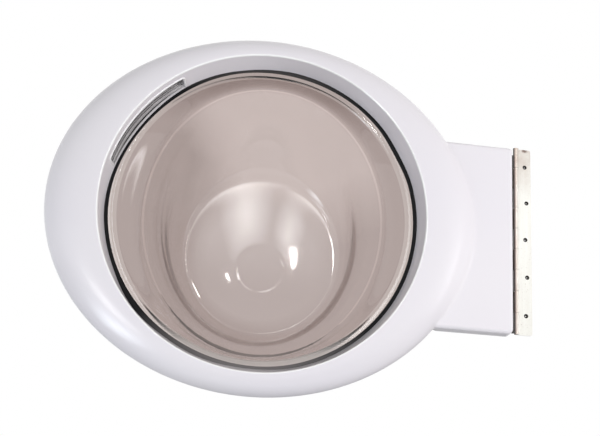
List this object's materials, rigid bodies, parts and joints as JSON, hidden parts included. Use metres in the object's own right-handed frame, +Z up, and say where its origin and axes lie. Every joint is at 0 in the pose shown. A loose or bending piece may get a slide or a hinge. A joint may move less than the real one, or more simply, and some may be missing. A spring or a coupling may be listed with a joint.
{
  "type": "washing machine door",
  "caption": "Oval porthole door with a deep clear glass bowl, finger grip, sprung latch hook and a steel strip hinge on a side arm.",
  "frame": {"origin": "back face of the hinge's cabinet leaf, at its mid-height, between the barrel and the line of screw holes; the cabinet's face is the plane Y = 0", "axes": "+Z up along the hinge pin, +X from the bowl towards the hinge, +Y from the user's side into the cabinet"},
  "size_m": [0.4951, 0.1501, 0.3672],
  "materials": {
    "shell": "smooth white moulding, satin gloss",
    "cover": "fine grain moulding",
    "gasket": "smooth black rubber",
    "glass": "pressed clear glass, fire polished",
    "grip": "dark grey moulding with ribs",
    "leaf": "worn bare steel strip",
    "steel": "drawn steel",
    "hook": "sintered metal, zinc grey",
    "latch": "dark moulding",
    "screws": "zinc plated",
    "rubber": "soft black rubber"
  },
  "bodies": {
    "cabinet_side": {"cabinet_leaf": "leaf", "hinge_pin": "steel"},
    "door": {"door_leaf": "leaf", "front_shell": "shell", "glass_gasket": "gasket", "glass_bowl": "glass", "rear_cover": "cover", "grip_cup": "grip", "hinge_plate": "steel", "latch_housing": "latch", "latch_pin": "steel", "latch_spring": "steel", "cover_screw_1": "screws", "cover_screw_2": "screws", "cover_screw_3": "screws", "cover_screw_4": "screws", "cover_screw_5": "screws", "cover_screw_6": "screws", "cover_screw_7": "screws", "cover_screw_8": "screws", "hinge_screw_1": "screws", "hinge_screw_2": "screws", "hinge_screw_3": "screws", "hinge_screw_4": "screws", "hinge_screw_5": "screws", "latch_screw_1": "screws", "latch_screw_2": "screws", "grip_screw_1": "screws", "grip_screw_2": "screws", "upper_bumper": "rubber", "lower_bumper": "rubber"},
    "hook": {"latch_hook": "hook"}
  },
  "joints": [
    {"name": "door_swing", "type": "hinge", "parent": "cabinet_side", "child": "door", "pos_m": [-0.005, -0.0029, 0], "axis": [0, 0, 1], "range_deg": [0, 120]},
    {"name": "hook_pivot", "type": "hinge", "parent": "door", "child": "hook", "pos_m": [-0.4588, -0.0135, 0], "axis": [0, 0, -1], "range_deg": [0, 8], "stiffness_Nm_per_rad": 0.15, "springref_deg": -14.32}
  ]
}
